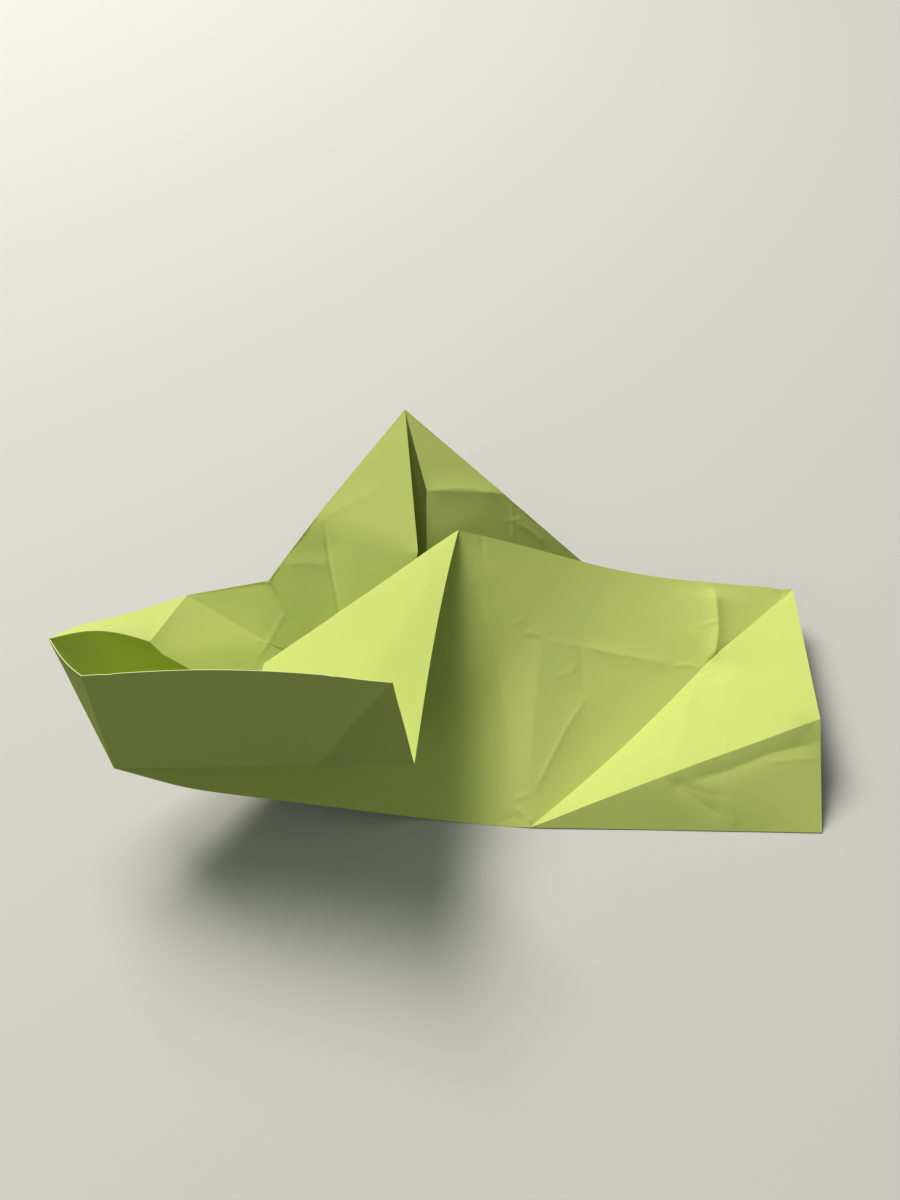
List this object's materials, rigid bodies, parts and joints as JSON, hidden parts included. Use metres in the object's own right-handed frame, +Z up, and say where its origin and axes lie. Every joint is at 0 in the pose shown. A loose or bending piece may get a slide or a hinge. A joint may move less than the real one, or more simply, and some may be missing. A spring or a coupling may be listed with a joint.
{
  "type": "origami petal bowl, partly folded",
  "caption": "Folded paper boat-shaped bowl with a tall back peak, a pointed end pocket, a front brim band and a broad spiked flap, with the rest of the sheet lying open as a creased panel",
  "frame": {"origin": "centre of the bounding box's foot, on the table", "axes": "+X along the object's length from the bowl's pointed end to the open panel, +Y from the front band to the tall back peak, +Z up"},
  "size_m": [0.1982, 0.1188, 0.0631],
  "materials": {
    "green_paper": "matte dyed paper with crisp folds and a few soft creases"
  },
  "bodies": {
    "root": {"folded_sheet": "green_paper"}
  },
  "joints": []
}
